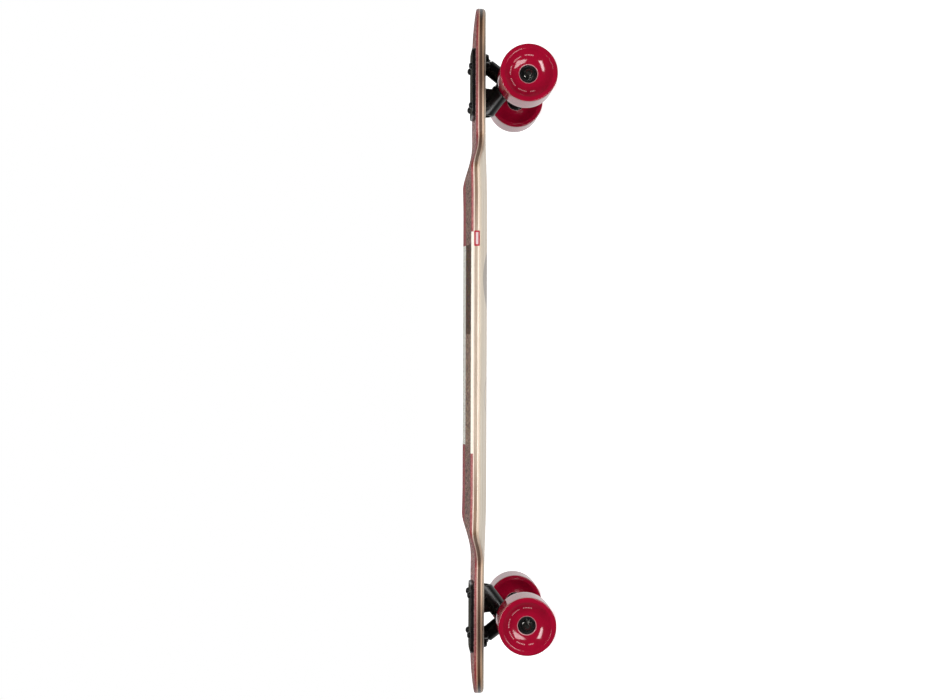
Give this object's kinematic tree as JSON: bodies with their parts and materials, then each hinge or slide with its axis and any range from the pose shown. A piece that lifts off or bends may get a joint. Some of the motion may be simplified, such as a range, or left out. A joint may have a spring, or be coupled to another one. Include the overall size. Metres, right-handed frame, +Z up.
{
  "type": "longboard skateboard",
  "caption": "Drop-through longboard with a concave laminated deck, reverse-kingpin trucks that lean to steer, and wide urethane wheels on ball bearings.",
  "frame": {"origin": "floor level under the centre of the deck, midway between the axles", "axes": "+X towards the nose, +Y to the rider's left when facing the nose, +Z up"},
  "size_m": [0.937, 0.256, 0.1127],
  "materials": {
    "grip": "coarse mineral grip, matte",
    "top_veneer": "stained veneer, satin",
    "pale_ply": "raw maple edge",
    "dark_ply": "dark stained edge",
    "bottom_veneer": "clear-coated veneer",
    "black_steel": "black oxide",
    "black_cast": "satin black powder coat on a casting",
    "cup_plastic": "moulded plastic",
    "zinc_steel": "zinc plated",
    "bearing_steel": "ground steel",
    "black_shield": "black bearing shield",
    "cage": "pressed ribbon",
    "urethane": "glossy cast urethane, ground tread",
    "wheel_core": "moulded core",
    "bushing": "cast urethane"
  },
  "bodies": {
    "deck": {"grip_sheet": "grip", "top_veneer": "top_veneer", "upper_core_ply": "pale_ply", "middle_core_plies": "dark_ply", "lower_core_ply": "pale_ply", "bottom_veneer": "bottom_veneer", "deck_bolts": "black_steel", "deck_nuts": "black_steel", "front_baseplate": "black_cast", "rear_baseplate": "black_cast", "front_pivot_cup": "cup_plastic", "rear_pivot_cup": "cup_plastic", "kingpins": "zinc_steel", "kingpin_nuts": "zinc_steel", "bushing_washers": "zinc_steel", "front_boardside_bushing": "bushing", "front_roadside_bushing": "bushing", "rear_boardside_bushing": "bushing", "rear_roadside_bushing": "bushing"},
    "front_truck": {"front_hanger": "black_cast", "front_axle": "zinc_steel", "front_axle_nuts": "zinc_steel", "front_speed_washers": "zinc_steel", "front_bearing_spacers": "zinc_steel", "front_inner_races": "bearing_steel"},
    "front_left_wheel": {"front_left_tyre": "urethane", "front_left_core": "wheel_core", "front_left_outer_races": "bearing_steel", "front_left_shields": "black_shield"},
    "front_left_ball_set": {"front_left_balls": "bearing_steel", "front_left_cages": "cage"},
    "front_right_wheel": {"front_right_tyre": "urethane", "front_right_core": "wheel_core", "front_right_outer_races": "bearing_steel", "front_right_shields": "black_shield"},
    "front_right_ball_set": {"front_right_balls": "bearing_steel", "front_right_cages": "cage"},
    "rear_truck": {"rear_hanger": "black_cast", "rear_axle": "zinc_steel", "rear_axle_nuts": "zinc_steel", "rear_speed_washers": "zinc_steel", "rear_bearing_spacers": "zinc_steel", "rear_inner_races": "bearing_steel"},
    "rear_left_wheel": {"rear_left_tyre": "urethane", "rear_left_core": "wheel_core", "rear_left_outer_races": "bearing_steel", "rear_left_shields": "black_shield"},
    "rear_left_ball_set": {"rear_left_balls": "bearing_steel", "rear_left_cages": "cage"},
    "rear_right_wheel": {"rear_right_tyre": "urethane", "rear_right_core": "wheel_core", "rear_right_outer_races": "bearing_steel", "rear_right_shields": "black_shield"},
    "rear_right_ball_set": {"rear_right_balls": "bearing_steel", "rear_right_cages": "cage"}
  },
  "joints": [
    {"name": "front_steer", "type": "hinge", "parent": "deck", "child": "front_truck", "pos_m": [0.3575, 0, 0.0375], "axis": [0.6046, 0, 0.7965], "range_deg": [-18, 18], "stiffness_Nm_per_rad": 80, "deforming": ["front_boardside_bushing", "front_roadside_bushing"]},
    {"name": "front_left_spin", "type": "hinge", "parent": "front_truck", "child": "front_left_wheel", "pos_m": [0.3575, 0.1025, 0.0375], "axis": [0, 1, 0], "continuous": true},
    {"name": "front_left_ball_orbit", "type": "hinge", "parent": "front_truck", "child": "front_left_ball_set", "pos_m": [0.3575, 0.1025, 0.0375], "axis": [0, 1, 0], "continuous": true},
    {"name": "front_right_spin", "type": "hinge", "parent": "front_truck", "child": "front_right_wheel", "pos_m": [0.3575, -0.1025, 0.0375], "axis": [0, 1, 0], "continuous": true},
    {"name": "front_right_ball_orbit", "type": "hinge", "parent": "front_truck", "child": "front_right_ball_set", "pos_m": [0.3575, -0.1025, 0.0375], "axis": [0, 1, 0], "continuous": true},
    {"name": "rear_steer", "type": "hinge", "parent": "deck", "child": "rear_truck", "pos_m": [-0.3575, 0, 0.0375], "axis": [-0.6046, 0, 0.7965], "range_deg": [-18, 18], "stiffness_Nm_per_rad": 80, "deforming": ["rear_boardside_bushing", "rear_roadside_bushing"]},
    {"name": "rear_left_spin", "type": "hinge", "parent": "rear_truck", "child": "rear_left_wheel", "pos_m": [-0.3575, 0.1025, 0.0375], "axis": [0, 1, 0], "continuous": true},
    {"name": "rear_left_ball_orbit", "type": "hinge", "parent": "rear_truck", "child": "rear_left_ball_set", "pos_m": [-0.3575, 0.1025, 0.0375], "axis": [0, 1, 0], "continuous": true},
    {"name": "rear_right_spin", "type": "hinge", "parent": "rear_truck", "child": "rear_right_wheel", "pos_m": [-0.3575, -0.1025, 0.0375], "axis": [0, 1, 0], "continuous": true},
    {"name": "rear_right_ball_orbit", "type": "hinge", "parent": "rear_truck", "child": "rear_right_ball_set", "pos_m": [-0.3575, -0.1025, 0.0375], "axis": [0, 1, 0], "continuous": true}
  ],
  "couplings": [
    {"joint": "front_left_ball_orbit", "follows": "front_left_spin", "ratio": 0.632},
    {"joint": "front_right_ball_orbit", "follows": "front_right_spin", "ratio": 0.632},
    {"joint": "rear_left_ball_orbit", "follows": "rear_left_spin", "ratio": 0.632},
    {"joint": "rear_right_ball_orbit", "follows": "rear_right_spin", "ratio": 0.632}
  ]
}
